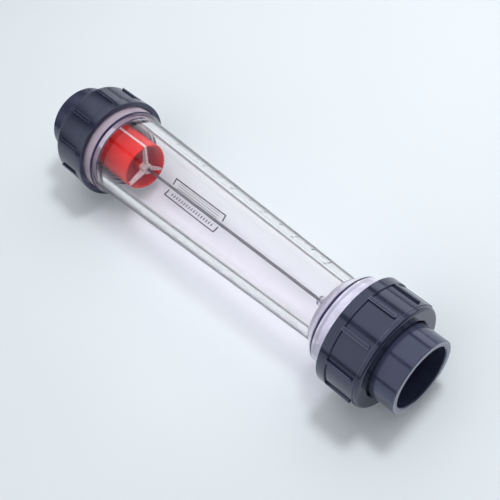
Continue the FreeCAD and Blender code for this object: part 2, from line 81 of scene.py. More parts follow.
def linear(colour: str) -> tuple[float, float, float, float]:
    """Turns an sRGB hex colour into linear light.

    Args:
        colour: Colour such as "#2b2d3f".

    Returns:
        Red, green, blue and an alpha of 1, as shader sockets take them.
    """
    shares = [int(colour[place:place + 2], 16) / 255 for place in (1, 3, 5)]
    light = [s / 12.92 if s <= 0.04045 else ((s + 0.055) / 1.055) ** 2.4 for s in shares]
    return (light[0], light[1], light[2], 1.0)


def per_metre(size_mm: float) -> float:
    """Texture scale at which one cell of a pattern is size_mm wide."""
    return 1.0 / (size_mm * MM)


def add_node(
    tree: Tree,
    kind: str,
    settings: Optional[dict[Any, Any]] = None,
    links: Optional[dict[Any, Socket]] = None,
) -> bpy.types.Node:
    """Adds a node with its settings and links.

    Args:
        tree: Node tree that takes the node.
        kind: Blender's name of the node's type.
        settings: Values by attribute name, or by the name or index of an input.
        links: Output sockets by the name or index of the input they feed.

    Returns:
        The new node.
    """
    node = tree.nodes.new(kind)
    for key, value in (settings or {}).items():
        if isinstance(key, str) and hasattr(node, key):
            setattr(node, key, value)
        else:
            node.inputs[key].default_value = value
    for key, socket in (links or {}).items():
        tree.links.new(socket, node.inputs[key])
    return node


def backdrop_rays(tree: Tree) -> Socket:
    """Adds a mask of the rays that see the pale backdrop.

    Args:
        tree: Node tree of a material or of the world.

    Returns:
        The socket, 1 for rays from the camera and through clear plastic, and 0 for others.
    """
    path = add_node(tree, "ShaderNodeLightPath")
    seen = add_node(
        tree,
        "ShaderNodeMath",
        {"operation": "MAXIMUM"},
        {0: path.outputs["Is Camera Ray"], 1: path.outputs["Is Transmission Ray"]},
    )
    return seen.outputs["Value"]


@dataclass(frozen=True)
class Finish:
    """A finish: what the surface is made of and how it was made."""

    name: str

    def build(self) -> bpy.types.Material:
        """Makes the material.

        Returns:
            The finished material.
        """
        material = bpy.data.materials.new(self.name)
        material.use_nodes = True
        tree = material.node_tree
        tree.nodes.clear()
        surface = self.surface(tree)
        add_node(tree, "ShaderNodeOutputMaterial", links={"Surface": surface.outputs[0]})
        return material

    def surface(self, tree: Tree) -> bpy.types.Node:
        """Adds the nodes of the surface; each finish has its own.

        Args:
            tree: Node tree of the material.

        Returns:
            The shader node whose first output shows.
        """
        raise NotImplementedError(self.name)

    def cloud(self, tree: Tree, size_mm: float, detail: float = 3.0) -> Socket:
        """Adds soft noise whose blots are size_mm wide on the real surface.

        Args:
            tree: Node tree of the material.
            size_mm: Width of a blot in millimetres.
            detail: Octaves of finer noise on top.

        Returns:
            The socket of the noise, from 0 to 1.
        """
        place = add_node(tree, "ShaderNodeTexCoord")
        noise = add_node(
            tree,
            "ShaderNodeTexNoise",
            {"Scale": per_metre(size_mm), "Detail": detail},
            {"Vector": place.outputs["Object"]},
        )
        return noise.outputs["Fac"]

    def drift(self, tree: Tree, share: Socket, first: str, second: str) -> Socket:
        """Adds a colour that drifts between two over the middle of a pattern's range.

        Args:
            tree: Node tree of the material.
            share: Socket of the pattern.
            first: Colour where the pattern is low.
            second: Colour where the pattern is high.

        Returns:
            The colour socket.
        """
        low, high = NOISE_RANGE
        middle = add_node(
            tree, "ShaderNodeMapRange", {"From Min": low, "From Max": high}, {"Value": share}
        )
        mix = add_node(
            tree,
            "ShaderNodeMixRGB",
            {"Color1": linear(first), "Color2": linear(second)},
            {"Fac": middle.outputs["Result"]},
        )
        return mix.outputs["Color"]

    def skin(
        self, tree: Tree, gloss: tuple[float, float], marks: Socket, depth_mm: float, height: Socket
    ) -> dict[str, Socket]:
        """Adds a skin whose gloss varies with one pattern and that is raised by another.

        Args:
            tree: Node tree of the material.
            gloss: Roughness where the marks are low, and where they are high.
            marks: Socket of the pattern that the roughness follows.
            depth_mm: Depth of the relief in millimetres.
            height: Socket of the pattern that the relief follows.

        Returns:
            Sockets by the name of the shader's input that they feed.
        """
        roughness = add_node(
            tree, "ShaderNodeMapRange", {"To Min": gloss[0], "To Max": gloss[1]}, {"Value": marks}
        )
        relief = add_node(
            tree, "ShaderNodeBump", {"Strength": 1.0, "Distance": depth_mm * MM}, {"Height": height}
        )
        return {"Roughness": roughness.outputs["Result"], "Normal": relief.outputs["Normal"]}


@dataclass(frozen=True)
class MouldedPvc(Finish):
    """PVC-U injection moulded in a polished tool: dark, slightly blue, and it mirrors lamps."""

    name: str = "moulded_pvc_u"
    shade: str = "#1e2233"
    bloom: str = "#262a3c"
    sheen: str = "#d3dafa"
    ior: float = 1.54
    shine: float = 0.9
    cloud_mm: float = 22.0
    handling_mm: float = 13.2
    skin_mm: float = 1.2
    skin_depth_mm: float = 0.0015
    polish: tuple[float, float] = (0.10, 0.2)
    # Painted highlight, partly rubbed wear: a paler colour on the outer edges.
    rub_and_edge_highlight: str = "#7c8199"
    rub_and_highlight_mm: float = 0.8
    rub_and_highlight_cosines: tuple[float, float] = (0.99, 0.9)
    open_shares: tuple[float, float] = (0.6, 0.85)
    patch_mm: float = 11.0
    patch_wear_and_highlight: tuple[float, float] = (0.2, 1.4)
    edge_samples: int = 8

    def surface(self, tree: Tree) -> bpy.types.Node:
        """Adds the glossy plastic, with the ripple and the handling marks of its skin.

        Args:
            tree: Node tree of the material.

        Returns:
            The shader node.
        """
        handling = self.cloud(tree, self.handling_mm, detail=5.0)
        ripple = self.cloud(tree, self.skin_mm, detail=2.0)
        return add_node(
            tree,
            "ShaderNodeBsdfPrincipled",
            {
                "IOR": self.ior,
                "Specular IOR Level": self.shine,
                "Specular Tint": linear(self.sheen),
            },
            {
                "Base Color": self.colour(tree),
                **self.skin(tree, self.polish, handling, self.skin_depth_mm, ripple),
            },
        )

    def colour(self, tree: Tree) -> Socket:
        """Adds the flow of pigment left by the mould, and the paler edges: partly rubbed wear, partly
        painted highlight.

        Args:
            tree: Node tree of the material.

        Returns:
            The colour socket.
        """
        flow = self.cloud(tree, self.cloud_mm)
        mix = add_node(
            tree,
            "ShaderNodeMixRGB",
            {"Color2": linear(self.rub_and_edge_highlight)},
            {"Fac": self.rubbed_and_highlit_edges(tree), "Color1": self.drift(tree, flow, self.shade, self.bloom)},
        )
        return mix.outputs["Color"]

    def rubbed_and_highlit_edges(self, tree: Tree) -> Socket:
        """Adds a mask of the outer edges, which hands and tools rub paler, and where a painted
        highlight stands in for the lamps that a rounded edge catches.

        Args:
            tree: Node tree of the material.

        Returns:
            The mask's socket.
        """
        # Where an imagined round edge leaves the true surface, there is an edge.
        round_edge = add_node(
            tree, "ShaderNodeBevel", {"samples": self.edge_samples, "Radius": self.rub_and_highlight_mm * MM}
        )
        place = add_node(tree, "ShaderNodeNewGeometry")
        match = add_node(
            tree,
            "ShaderNodeVectorMath",
            {"operation": "DOT_PRODUCT"},
            {0: round_edge.outputs["Normal"], 1: place.outputs["Normal"]},
        )
        edge = add_node(
            tree,
            "ShaderNodeMapRange",
            {"From Min": self.rub_and_highlight_cosines[0], "From Max": self.rub_and_highlight_cosines[1]},
            {"Value": match.outputs["Value"]},
        )
        # Inner corners are out of reach of hands and get no painted highlight, so they stay dark.
        open_side = add_node(
            tree,
            "ShaderNodeAmbientOcclusion",
            {"samples": self.edge_samples, "Distance": 2 * self.rub_and_highlight_mm * MM},
        )
        outer = add_node(
            tree,
            "ShaderNodeMapRange",
            {"From Min": self.open_shares[0], "From Max": self.open_shares[1]},
            {"Value": open_side.outputs["AO"]},
        )
        # Hands don't reach every edge alike, so the wear and the painted highlight come and go in
        # patches.
        patches = add_node(
            tree,
            "ShaderNodeMapRange",
            {"To Min": self.patch_wear_and_highlight[0], "To Max": self.patch_wear_and_highlight[1]},
            {"Value": self.cloud(tree, self.patch_mm)},
        )
        worn_and_highlit = edge.outputs["Result"]
        for mask in (outer, patches):
            both = add_node(
                tree,
                "ShaderNodeMath",
                {"operation": "MULTIPLY", "use_clamp": True},
                {0: worn_and_highlit, 1: mask.outputs["Result"]},
            )
            worn_and_highlit = both.outputs["Value"]
        return worn_and_highlit


@dataclass(frozen=True)
class FacedPvc(MouldedPvc):
    """Moulded PVC-U whose end face was turned, which leaves it paler and finely ringed."""

    name: str = "faced_pvc_u"
    # Painted light: lighter than the nuts' PVC-U, standing in for the brighter lamp reflections on
    # the tailpieces.
    shade: str = "#2e3248"
    bloom: str = "#363a50"
    face: str = "#8b8f9e"
    groove: str = "#767a8a"
    # A turning tool's rings are about 0.2 mm apart: drawn coarser so that they show.
    ring_mm: float = 5.655
    ring_waver: float = 0.4
    face_at: float = 0.0
    axis_height: float = 0.0

    def colour(self, tree: Tree) -> Socket:
        """Adds the moulded colour, and the turned face past the end's chamfer.

        Args:
            tree: Node tree of the material.

        Returns:
            The colour socket.
        """
        place = add_node(tree, "ShaderNodeTexCoord")
        # The rings are concentric, so the wave runs in the distance from the axis.
        centred = add_node(
            tree,
            "ShaderNodeMapping",
            {"Location": (0.0, 0.0, -self.axis_height)},
            {"Vector": place.outputs["Object"]},
        )
        rings = add_node(
            tree,
            "ShaderNodeTexWave",
            {
                "wave_type": "RINGS",
                "rings_direction": "X",
                "Scale": per_metre(self.ring_mm) * math.tau / WAVE_RADIANS,
                "Distortion": self.ring_waver,
            },
            {"Vector": centred.outputs["Vector"]},
        )
        parts = add_node(tree, "ShaderNodeSeparateXYZ", links={"Vector": place.outputs["Object"]})
        reach = add_node(tree, "ShaderNodeMath", {"operation": "ABSOLUTE"}, {0: parts.outputs["X"]})
        past = add_node(
            tree,
            "ShaderNodeMath",
            {"operation": "GREATER_THAN", 1: self.face_at},
            {0: reach.outputs["Value"]},
        )
        mix = add_node(
            tree,
            "ShaderNodeMixRGB",
            links={
                "Fac": past.outputs["Value"],
                "Color1": super().colour(tree),
                "Color2": self.drift(tree, rings.outputs["Fac"], self.groove, self.face),
            },
        )
        return mix.outputs["Color"]


@dataclass(frozen=True)
class ClearPvc(Finish):
    """Clear PVC-U, moulded and polished: it bends what is behind it, and painted shade darkens its
    outline.
    """

    name: str = "moulded_clear_pvc_u"
    tint: str = "#f9f7f8"
    shade_tint: str = "#dedade"
    glare: str = "#74758a"
    # Painted shade: the dark outline of the tube, standing in for the dark that refraction shows
    # there.
    painted_rim_shade: str = "#2b2934"
    ior: float = 1.54
    ripple_mm: float = 26.0
    ripple_depth_mm: float = 0.01
    haze_mm: float = 7.8
    haze: tuple[float, float] = (0.0, 0.04)
    milk_mm: float = 52.0
    milk: tuple[float, float] = (0.998, 1.0)
    rim_shade_from: float = 0.61
    rim_shade_full: float = 0.76
    rim_shade_clear: float = 0.3

    def surface(self, tree: Tree) -> bpy.types.Node:
        """Adds the clear plastic. Rays from lamps pass straight through, as light does.

        Args:
            tree: Node tree of the material.

        Returns:
            The shader node.
        """
        haze = self.cloud(tree, self.haze_mm)
        ripple = self.cloud(tree, self.ripple_mm, detail=0.0)
        glass = add_node(
            tree,
            "ShaderNodeBsdfPrincipled",
            {"IOR": self.ior, "Specular Tint": linear(self.glare)},
            {
                "Base Color": self.colour(tree),
                "Transmission Weight": self.clearness(tree),
                **self.skin(tree, self.haze, haze, self.ripple_depth_mm, ripple),
            },
        )
        clear = add_node(tree, "ShaderNodeBsdfTransparent", {"Color": linear(self.shade_tint)})
        path = add_node(tree, "ShaderNodeLightPath")
        return add_node(
            tree,
            "ShaderNodeMixShader",
            links={0: path.outputs["Is Shadow Ray"], 1: glass.outputs[0], 2: clear.outputs[0]},
        )

    def colour(self, tree: Tree) -> Socket:
        """Adds the tint of the plastic, with painted shade where it is seen edge on.

        Args:
            tree: Node tree of the material.

        Returns:
            The colour socket.
        """
        mix = add_node(
            tree,
            "ShaderNodeMixRGB",
            {"Color1": linear(self.tint), "Color2": linear(self.painted_rim_shade)},
            {"Fac": self.edge(tree)},
        )
        return mix.outputs["Color"]

    def edge(self, tree: Tree) -> Socket:
        """Adds how near the outline the wall is seen, which is where the shade is painted.

        Args:
            tree: Node tree of the material.

        Returns:
            The socket, 0 over most of the tube and 1 at its outline.
        """
        painted_rim_shade = add_node(tree, "ShaderNodeLayerWeight")
        share = add_node(
            tree,
            "ShaderNodeMapRange",
            {"From Min": self.rim_shade_from, "From Max": self.rim_shade_full},
            {"Value": painted_rim_shade.outputs["Facing"]},
        )
        return share.outputs["Result"]

    def clearness(self, tree: Tree) -> Socket:
        """Adds the share of light that passes, a little less in thin clouds, and less at the outline
        under the painted shade.

        Args:
            tree: Node tree of the material.

        Returns:
            The socket for the share.
        """
        clear = add_node(
            tree,
            "ShaderNodeMapRange",
            {"To Min": self.milk[0], "To Max": self.milk[1]},
            {"Value": self.cloud(tree, self.milk_mm)},
        )
        dim = add_node(
            tree,
            "ShaderNodeMapRange",
            {"To Min": 1.0, "To Max": self.rim_shade_clear},
            {"Value": self.edge(tree)},
        )
        both = add_node(
            tree,
            "ShaderNodeMath",
            {"operation": "MULTIPLY"},
            {0: clear.outputs["Result"], 1: dim.outputs["Result"]},
        )
        return both.outputs["Value"]


@dataclass(frozen=True)
class Band:
    """A stretch along the axis where a finish differs, in metres, with the width of its edges."""

    start: float
    stop: float
    edge: float
    colour: str
    clear: float


@dataclass(frozen=True)
class WeldedClearPvc(ClearPvc):
    """Clear PVC-U with thick moulded collars, which look milky, and cemented violet joints."""

    name: str = "welded_clear_pvc_u"
    bands: tuple[Band, ...] = ()

    def within(self, tree: Tree, band: Band) -> Socket:
        """Adds a mask of one band.

        Args:
            tree: Node tree of the material.
            band: Where the mask is 1.

        Returns:
            The mask's socket.
        """
        place = add_node(tree, "ShaderNodeTexCoord")
        parts = add_node(tree, "ShaderNodeSeparateXYZ", links={"Vector": place.outputs["Object"]})
        rise, fall = (
            add_node(
                tree,
                "ShaderNodeMapRange",
                {"From Min": outer, "From Max": inner},
                {"Value": parts.outputs["X"]},
            )
            for outer, inner in (
                (band.start, band.start + band.edge), (band.stop, band.stop - band.edge)
            )
        )
        both = add_node(
            tree,
            "ShaderNodeMath",
            {"operation": "MULTIPLY"},
            {0: rise.outputs["Result"], 1: fall.outputs["Result"]},
        )
        return both.outputs["Value"]

    def colour(self, tree: Tree) -> Socket:
        """Adds the tint of the plastic, then that of each band.

        Args:
            tree: Node tree of the material.

        Returns:
            The colour socket.
        """
        tint = super().colour(tree)
        for band in self.bands:
            mix = add_node(
                tree,
                "ShaderNodeMixRGB",
                {"Color2": linear(band.colour)},
                {"Fac": self.within(tree, band), "Color1": tint},
            )
            tint = mix.outputs["Color"]
        return tint

    def clearness(self, tree: Tree) -> Socket:
        """Adds the share of light that passes, with the milkiness of each band.

        Args:
            tree: Node tree of the material.

        Returns:
            The socket for the share.
        """
        share = super().clearness(tree)
        for band in self.bands:
            milk = add_node(
                tree,
                "ShaderNodeMapRange",
                {"To Min": 1.0, "To Max": band.clear},
                {"Value": self.within(tree, band)},
            )
            less = add_node(
                tree,
                "ShaderNodeMath",
                {"operation": "MULTIPLY"},
                {0: share, 1: milk.outputs["Result"]},
            )
            share = less.outputs["Value"]
        return share


@dataclass(frozen=True)
class DrawnSteel(Finish):
    """Stainless steel, cold drawn or turned: fine streaks along it break up its shine."""

    name: str = "drawn_stainless_steel"
    bright: str = "#86878e"
    dull: str = "#4a4b52"
    # Drawing lines are a few hundredths of a millimetre wide: drawn coarser so that they show.
    streak_mm: float = 0.25
    streak_depth_mm: float = 0.003
    stretch: float = 60.0
    gloss: tuple[float, float] = (0.2, 0.42)

    def surface(self, tree: Tree) -> bpy.types.Node:
        """Adds the streaked metal.

        Args:
            tree: Node tree of the material.

        Returns:
            The shader node.
        """
        place = add_node(tree, "ShaderNodeTexCoord")
        drawn = add_node(
            tree,
            "ShaderNodeMapping",
            {"Scale": (1.0 / self.stretch, 1.0, 1.0)},
            {"Vector": place.outputs["Object"]},
        )
        noise = add_node(
            tree,
            "ShaderNodeTexNoise",
            {"Scale": per_metre(self.streak_mm), "Detail": 2.0},
            {"Vector": drawn.outputs["Vector"]},
        )
        streaks = noise.outputs["Fac"]
        return add_node(
            tree,
            "ShaderNodeBsdfPrincipled",
            {"Metallic": 1.0},
            {
                "Base Color": self.drift(tree, streaks, self.dull, self.bright),
                **self.skin(tree, self.gloss, streaks, self.streak_depth_mm, streaks),
            },
        )


@dataclass(frozen=True)
class MouldedRubber(Finish):
    """EPDM rubber, moulded: black, matt and slightly powdery."""

    name: str = "moulded_epdm_rubber"
    shade: str = "#161618"
    bloom: str = "#232327"
    ior: float = 1.5
    # The powder's grains are far finer: drawn coarser so that they show.
    powder_mm: float = 0.7
    powder_depth_mm: float = 0.01
    gloss: tuple[float, float] = (0.5, 0.75)

    def surface(self, tree: Tree) -> bpy.types.Node:
        """Adds the matt rubber and its powder.

        Args:
            tree: Node tree of the material.

        Returns:
            The shader node.
        """
        powder = self.cloud(tree, self.powder_mm, detail=4.0)
        return add_node(
            tree,
            "ShaderNodeBsdfPrincipled",
            {"IOR": self.ior},
            {
                "Base Color": self.drift(tree, powder, self.shade, self.bloom),
                **self.skin(tree, self.gloss, powder, self.powder_depth_mm, powder),
            },
        )


@dataclass(frozen=True)
class MouldedPlastic(Finish):
    """A moulded plastic with a glossy skin: soft clouds of pigment and a faint ripple."""

    shade: str
    bloom: str
    cloud_mm: float
    gloss: tuple[float, float]
    ior: float
    soak: float = 0.0
    soak_mm: float = 1.0
    clear: float = 0.0
    shine: float = 0.5
    skin_share: float = 0.15
    skin_depth_mm: float = 0.002

    def surface(self, tree: Tree) -> bpy.types.Node:
        """Adds the plastic, into which light soaks or through which it passes.

        Args:
            tree: Node tree of the material.

        Returns:
            The shader node.
        """
        cloud = self.cloud(tree, self.cloud_mm)
        ripple = self.cloud(tree, self.cloud_mm * self.skin_share, detail=2.0)
        return add_node(
            tree,
            "ShaderNodeBsdfPrincipled",
            {
                "IOR": self.ior,
                "Subsurface Weight": self.soak,
                "Subsurface Scale": self.soak_mm * MM,
                "Transmission Weight": self.clear,
                "Specular IOR Level": self.shine,
            },
            {
                "Base Color": self.drift(tree, cloud, self.shade, self.bloom),
                **self.skin(tree, self.gloss, ripple, self.skin_depth_mm, ripple),
            },
        )


@dataclass(frozen=True)
class PrintedInk(Finish):
    """Screen-printed ink: thin, matt, and a little uneven where the mesh left it."""

    name: str = "screen_printed_ink"
    thick: str = "#0e0f14"
    thin: str = "#1c1d26"
    ior: float = 1.3
    # The screen's threads are about 0.1 mm apart: drawn coarser so that they show.
    mesh_mm: float = 0.5
    gloss: tuple[float, float] = (0.55, 0.8)

    def surface(self, tree: Tree) -> bpy.types.Node:
        """Adds the uneven film of ink.

        Args:
            tree: Node tree of the material.

        Returns:
            The shader node.
        """
        mesh = self.cloud(tree, self.mesh_mm, detail=2.0)
        gloss = add_node(
            tree,
            "ShaderNodeMapRange",
            {"To Min": self.gloss[0], "To Max": self.gloss[1]},
            {"Value": mesh},
        )
        return add_node(
            tree,
            "ShaderNodeBsdfPrincipled",
            {"IOR": self.ior},
            {
                "Base Color": self.drift(tree, mesh, self.thick, self.thin),
                "Roughness": gloss.outputs["Result"],
            },
        )


@dataclass(frozen=True)
class PaintedFloor(Finish):
    """Smooth painted board: pale and matt, with a faint unevenness of the coat."""

    name: str = "painted_board"
    low: str = "#e6eef4"
    high: str = "#e9f1f7"
    ior: float = 1.45
    roughness: float = 0.7
    coat_mm: float = 400.0
    fade_from: float = 0.55
    fade_full: float = 1.3

    def fade(self, tree: Tree) -> Socket:
        """Adds how far the board has turned into the backdrop, away from the meter.

        Args:
            tree: Node tree of the material.

        Returns:
            The socket, 0 round the meter, and 1 far off for the camera and through glass.
        """
        place = add_node(tree, "ShaderNodeTexCoord")
        reach = add_node(
            tree, "ShaderNodeVectorMath", {"operation": "LENGTH"}, {0: place.outputs["Object"]}
        )
        far = add_node(
            tree,
            "ShaderNodeMapRange",
            {"From Min": self.fade_from, "From Max": self.fade_full},
            {"Value": reach.outputs["Value"]},
        )
        share = add_node(
            tree,
            "ShaderNodeMath",
            {"operation": "MULTIPLY"},
            {0: far.outputs["Result"], 1: backdrop_rays(tree)},
        )
        return share.outputs["Value"]

    def surface(self, tree: Tree) -> bpy.types.Node:
        """Adds the board, and the backdrop that it fades into.

        Args:
            tree: Node tree of the material.

        Returns:
            The shader node.
        """
        coat = self.cloud(tree, self.coat_mm, detail=2.0)
        board = add_node(
            tree,
            "ShaderNodeBsdfPrincipled",
            {"Roughness": self.roughness, "IOR": self.ior},
            {"Base Color": self.drift(tree, coat, self.low, self.high)},
        )
        wall = add_node(tree, "ShaderNodeEmission", {"Color": linear(BACKDROP), "Strength": 1.0})
        return add_node(
            tree,
            "ShaderNodeMixShader",
            links={0: self.fade(tree), 1: board.outputs[0], 2: wall.outputs[0]},
        )


def dress(names: Iterable[str], material: bpy.types.Material) -> None:
    """Gives CAD nodes a finish in place of the plain one they came with.

    Args:
        names: Node names in the frame.
        material: The finish.
    """
    for name in names:
        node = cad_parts[name]
        for slot in node.material_slots:
            slot.material = material
        report.info("dressed %s in %s", name, material.name)


@dataclass(frozen=True)
class Corner:
    """A corner of a turned profile, in millimetres along and from the axis."""

    along: float
    radius: float
    round: float = 0.0


def rounded(corners: list[Corner], steps: int = 6) -> list[tuple[float, float]]:
    """Rounds the corners of a closed profile.

    Args:
        corners: Corners in order.
        steps: Chords in each rounded corner.

    Returns:
        Points of the profile in millimetres.
    """
    points = []
    count = len(corners)
    for index, corner in enumerate(corners):
        here = Vector((corner.along, corner.radius))
        if not corner.round:
            points.append(tuple(here))
            continue
        before = corners[index - 1]
        after = corners[(index + 1) % count]
        back = (Vector((before.along, before.radius)) - here).normalized()
        forth = (Vector((after.along, after.radius)) - here).normalized()
        half = back.angle(forth) / 2
        centre = here + (back + forth).normalized() * (corner.round / math.sin(half))
        first = here + back * (corner.round / math.tan(half)) - centre
        last = here + forth * (corner.round / math.tan(half)) - centre
        sweep = first.angle_signed(last)
        for step in range(steps + 1):
            arm = first.copy()
            arm.rotate(Matrix.Rotation(-sweep * step / steps, 2))
            points.append(tuple(centre + arm))
    return points


def finished_mesh(
    name: str, points: list[Vector], faces: list[tuple[int, ...]], material: bpy.types.Material
) -> bpy.types.Object:
    """Makes a smooth object from points and faces.

    Args:
        name: Name of the piece.
        points: Vertices in metres.
        faces: Vertex indices of each face.
        material: Its finish.

    Returns:
        The object, linked to the scene.
    """
    mesh = bpy.data.meshes.new(name)
    mesh.from_pydata(points, [], faces)
    mesh.materials.append(material)
    mesh.shade_smooth()
    piece = bpy.data.objects.new(name, mesh)
    bpy.context.scene.collection.objects.link(piece)
    return piece


@dataclass
class MeteringTube:
    """The clear tube, with its tapered bore and threaded ends, in millimetres from its middle."""

    axis_height: float = 55.0
    half_length: float = 198.3
    thread_radius: float = 49.0
    thread_length: float = 28.4
    thread_pitch: float = 6.0
    thread_depth: float = 1.6
    thread_root_share: float = 0.25
    thread_flank_share: float = 0.25
    thread_runout: float = 1.5
    outlet_collar: float = 48.7
    outlet_collar_front: float = -157.8
    outlet_neck: float = -152.8
    neck_outlet_radius: float = 45.6
    neck_inlet_radius: float = 34.4
    inlet_neck: float = 139.6
    inlet_collar: float = 45.1
    inlet_collar_back: float = 151.9
    bore_outlet: float = 35.9
    bore_outlet_end: float = -165.9
    bore_inlet: float = 26.2
    bore_inlet_end: float = 139.9
    outlet_seat: float = 38.5
    inlet_seat: float = 30.0
    collar_round: float = 1.2
    joint_width: float = 3.4
    joint_blur: float = 0.6
    segments: int = 192
    ring_step: float = 0.5
    sharp_angle: float = 40.0

    def profile(self) -> list[tuple[float, float]]:
        """Works out the section of the tube.

        Returns:
            Points of the closed profile in millimetres, outside first.
        """
        end = self.half_length
        thread = end - self.thread_length
        blend = self.collar_round
        outside = [
            Corner(-end, self.thread_radius),
            *self.thread_rings(-end, -thread),
            Corner(-thread, self.thread_radius),
            Corner(-thread, self.outlet_collar),
            Corner(self.outlet_collar_front, self.outlet_collar, blend),
            Corner(self.outlet_neck, self.neck_outlet_radius, blend),
            Corner(self.inlet_neck, self.neck_inlet_radius, blend),
            Corner(self.inlet_collar_back, self.inlet_collar, blend),
            Corner(thread, self.inlet_collar),
            Corner(thread, self.thread_radius),
            *self.thread_rings(thread, end),
            Corner(end, self.thread_radius),
        ]
        inside = [
            Corner(end, self.inlet_seat),
            Corner(self.bore_inlet_end, self.inlet_seat),
            Corner(self.bore_inlet_end, self.bore_inlet),
            Corner(self.bore_outlet_end, self.bore_outlet),
            Corner(self.bore_outlet_end, self.outlet_seat),
            Corner(-end, self.outlet_seat),
        ]
        return rounded(outside + inside)

    def thread_rings(self, start: float, stop: float) -> list[Corner]:
        """Rings close enough together to carry the thread.

        Args:
            start: Where the thread starts along the axis.
            stop: Where it stops.

        Returns:
            The corners between start and stop.
        """
        count = round((stop - start) / self.ring_step)
        step = (stop - start) / count
        return [Corner(start + step * index, self.thread_radius) for index in range(1, count)]

    def thread_cut(self, along: float, turn: float) -> float:
        """Depth of the trapezoidal thread at a point on the tube's end.

        Args:
            along: Distance along the axis in millimetres.
            turn: Angle about the axis as a share of a turn.

        Returns:
            The depth in millimetres, 0 off the thread.
        """
        inner = self.half_length - self.thread_length
        runout = min(self.half_length - abs(along), abs(along) - inner)
        if runout <= 0:
            return 0.0
        place = (along / self.thread_pitch + turn) % 1.0
        from_root = abs(place - 0.5) - self.thread_root_share / 2
        flank = min(max(from_root / self.thread_flank_share, 0.0), 1.0)
        return self.thread_depth * (1 - flank) * min(runout / self.thread_runout, 1.0)

    def build(self, material: bpy.types.Material) -> bpy.types.Object:
        """Turns the profile about the axis and cuts the thread.

        Args:
            material: The clear finish.

        Returns:
            The tube.
        """
        section = self.profile()
        points = []
        for along, radius in section:
            for index in range(self.segments):
                turn = index / self.segments
                depth = 0.0
                if abs(radius - self.thread_radius) < HAIR:
                    depth = self.thread_cut(along, turn)
                points.append(self.on_tube(along, turn * math.tau, radius - depth))
        faces = []
        for ring in range(len(section)):
            low = ring * self.segments
            high = (ring + 1) % len(section) * self.segments
            for index in range(self.segments):
                following = (index + 1) % self.segments
                faces.append((low + index, low + following, high + following, high + index))
        tube = finished_mesh("clear_metering_tube", points, faces, material)
        tube.data.set_sharp_from_angle(angle=math.radians(self.sharp_angle))
        tube.data.update()
        weigh = tube.modifiers.new("Flat faces lead the shading", "WEIGHTED_NORMAL")
        weigh.keep_sharp = True
        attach(tube, Body.METER.value)
        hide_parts("metering_tube")
        report.info("built clear_metering_tube with %d faces", len(faces))
        return tube

    def bands(self) -> tuple[Band, ...]:
        """Stretches of the tube whose plastic isn't plain and clear.

        Returns:
            The milky collars and inlet cone, and the cement line where each collar starts.
        """
        end = self.half_length * MM
        edge = self.collar_round * MM
        neck = self.inlet_neck * MM
        outlet_joint = self.outlet_collar_front * MM
        inlet_joint = self.inlet_collar_back * MM
        half = self.joint_width / 2 * MM
        blur = self.joint_blur * MM
        return (
            Band(-end, outlet_joint, edge, "#ddd0de", clear=0.55),
            Band(neck, inlet_joint, edge, "#eeebf8", clear=0.7),
            Band(inlet_joint, end, edge, "#eceafb", clear=0.45),
            Band(outlet_joint - half, outlet_joint + half, blur, "#2f2950", clear=0.35),
            Band(inlet_joint - half, inlet_joint + half, blur, "#2f2950", clear=0.35),
        )

    def on_tube(self, along: float, angle: float, radius: float) -> Vector:
        """Point in the frame from its place about the axis.

        Args:
            along: Distance along the axis in millimetres.
            angle: Angle in radians from +Y towards +Z.
            radius: Distance from the axis in millimetres.

        Returns:
            The point in metres.
        """
        across = radius * math.cos(angle)
        up = self.axis_height + radius * math.sin(angle)
        return Vector((along, across, up)) * MM

    def outside_radius(self, along: float) -> float:
        """Radius of the tapered waist's outside at a place along it, in millimetres."""
        share = (along - self.outlet_neck) / (self.inlet_neck - self.outlet_neck)
        return self.neck_outlet_radius + (self.neck_inlet_radius - self.neck_outlet_radius) * share


@dataclass
class Film:
    """Vertices and faces of one film of ink."""

    points: list[Vector] = field(default_factory=list)
    faces: list[tuple[int, ...]] = field(default_factory=list)


